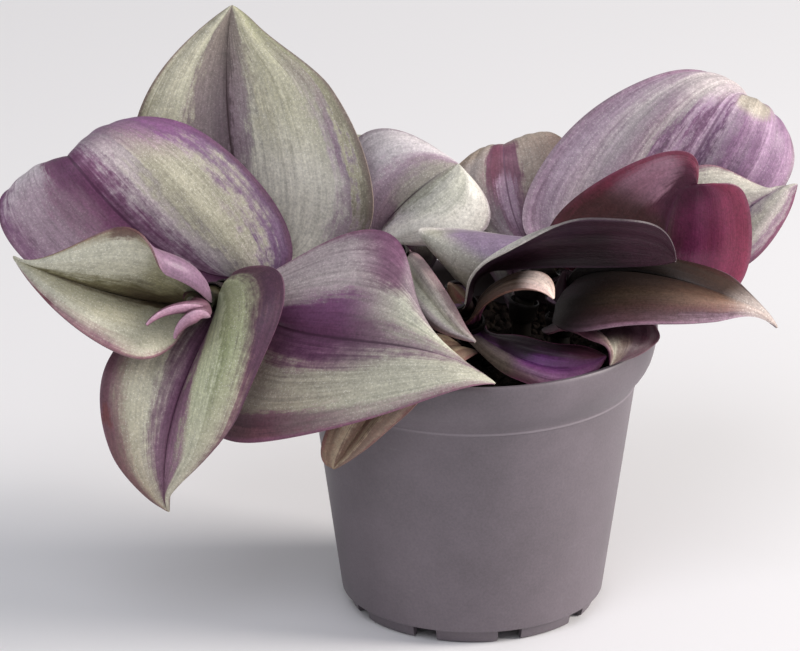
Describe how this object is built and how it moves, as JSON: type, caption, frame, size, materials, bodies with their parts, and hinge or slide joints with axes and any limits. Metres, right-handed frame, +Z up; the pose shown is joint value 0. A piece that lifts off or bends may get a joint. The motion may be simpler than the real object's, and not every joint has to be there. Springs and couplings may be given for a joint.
{
  "type": "potted tradescantia",
  "caption": "Small nursery pot of tradescantia, with broad pointed leaves striped silver and purple, magenta beneath, fanning out over the rim",
  "frame": {"origin": "on the ground, in the middle of the whole plant's width and depth", "axes": "+Z up, +X to the right and +Y away as seen from the front; the spread of leaves is widest along X"},
  "size_m": [0.1296, 0.082, 0.0972],
  "materials": {
    "pot": "satin",
    "soil": "matte",
    "stem": "matte",
    "leaf": "satin",
    "leaf_purple": "satin",
    "leaf_old": "matte"
  },
  "bodies": {
    "root": {"pot": "pot", "soil": "soil", "stem_a": "stem", "stem_b": "stem", "stem_c": "stem", "stem_d": "stem", "stem_e": "stem", "leaf_top": "leaf", "leaf_left": "leaf", "leaf_front": "leaf", "leaf_down": "leaf", "leaf_young": "leaf", "leaf_bud": "leaf", "leaf_centre": "leaf", "leaf_curled": "leaf", "leaf_back_left": "leaf", "leaf_back_mid": "leaf", "leaf_small_back": "leaf", "leaf_back_right": "leaf", "leaf_right_big": "leaf", "leaf_right_tip": "leaf", "leaf_magenta": "leaf_purple", "leaf_old": "leaf_old", "leaf_rim_purple": "leaf", "leaf_tan": "leaf_old", "leaf_boat": "leaf", "leaf_sill": "leaf", "leaf_rim_tip": "leaf"}
  },
  "joints": []
}
